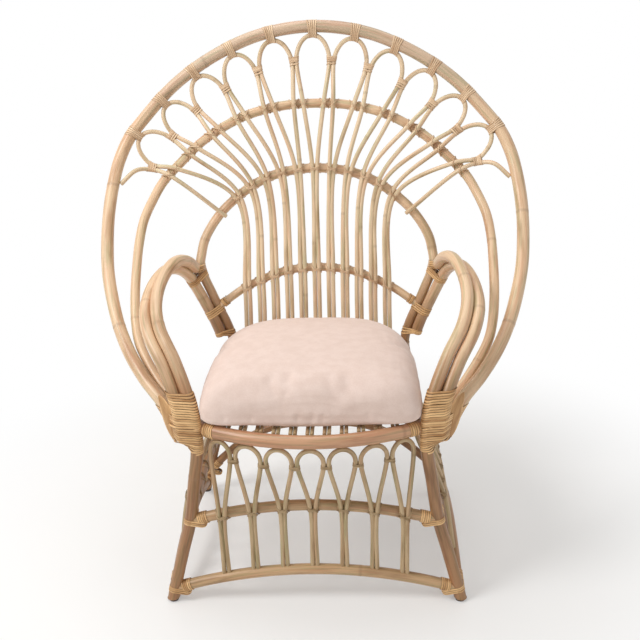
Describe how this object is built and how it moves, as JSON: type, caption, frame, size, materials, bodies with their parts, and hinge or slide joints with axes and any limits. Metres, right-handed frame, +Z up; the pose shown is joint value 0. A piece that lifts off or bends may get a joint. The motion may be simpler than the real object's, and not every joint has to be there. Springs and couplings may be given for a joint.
{
  "type": "peacock chair",
  "caption": "High-backed rattan armchair with a fan of looped canes in two hoops, looped aprons below the seat and a loose cushion.",
  "frame": {"origin": "on the floor, at the centre of the overall width and depth", "axes": "+X to the right of the picture, +Y from the front of the seat to its back, +Z up"},
  "size_m": [1.0332, 0.707, 1.2509],
  "materials": {
    "cane": "natural rattan pole, light tan, satin, with darker joints",
    "thin_cane": "thin rattan cane, pale tan, satin",
    "leg_cane": "rattan pole with a browner skin, satin",
    "rail_cane": "reddish brown rattan pole, satin",
    "split_cane_binding": "split cane wound in close turns, yellow tan",
    "cushion_cloth": "pale beige pink cotton cloth, matt",
    "glide": "dark grey rubber, matt"
  },
  "bodies": {
    "root": {"fan_half_cane_left": "thin_cane", "fan_loop_01": "thin_cane", "fan_loop_02": "thin_cane", "fan_loop_03": "thin_cane", "fan_loop_04": "thin_cane", "fan_loop_05": "thin_cane", "fan_loop_06": "thin_cane", "fan_loop_07": "thin_cane", "fan_loop_08": "thin_cane", "fan_loop_09": "thin_cane", "fan_loop_10": "thin_cane", "fan_loop_11": "thin_cane", "fan_half_cane_right": "thin_cane", "outer_hoop": "cane", "middle_hoop": "cane", "back_frame_and_rear_legs": "cane", "lumbar_rail": "cane", "front_leg_and_inner_arm_left": "leg_cane", "outer_arm_left": "cane", "front_leg_and_inner_arm_right": "leg_cane", "outer_arm_right": "cane", "front_seat_rail": "rail_cane", "rear_seat_rail": "leg_cane", "side_seat_rail_left": "leg_cane", "side_seat_rail_right": "leg_cane", "front_middle_stretcher": "cane", "front_bottom_stretcher": "cane", "rear_arch_brace": "leg_cane", "side_middle_stretcher_left": "leg_cane", "side_bottom_stretcher_left": "leg_cane", "side_middle_stretcher_right": "leg_cane", "side_bottom_stretcher_right": "leg_cane", "front_apron_loop_1": "thin_cane", "front_apron_loop_2": "thin_cane", "front_apron_loop_3": "thin_cane", "front_apron_loop_4": "thin_cane", "front_apron_loop_5": "thin_cane", "front_apron_loop_6": "thin_cane", "front_apron_loop_7": "thin_cane", "side_apron_left": "thin_cane", "side_apron_right": "thin_cane", "corner_binding_left": "split_cane_binding", "arm_end_binding_left": "split_cane_binding", "lumbar_end_binding_left": "split_cane_binding", "post_binding_left": "split_cane_binding", "corner_binding_right": "split_cane_binding", "arm_end_binding_right": "split_cane_binding", "lumbar_end_binding_right": "split_cane_binding", "post_binding_right": "split_cane_binding", "seat_canes": "thin_cane", "seat_cushion": "cushion_cloth", "front_glide_left": "glide", "rear_glide_left": "glide", "front_glide_right": "glide", "rear_glide_right": "glide"}
  },
  "joints": []
}
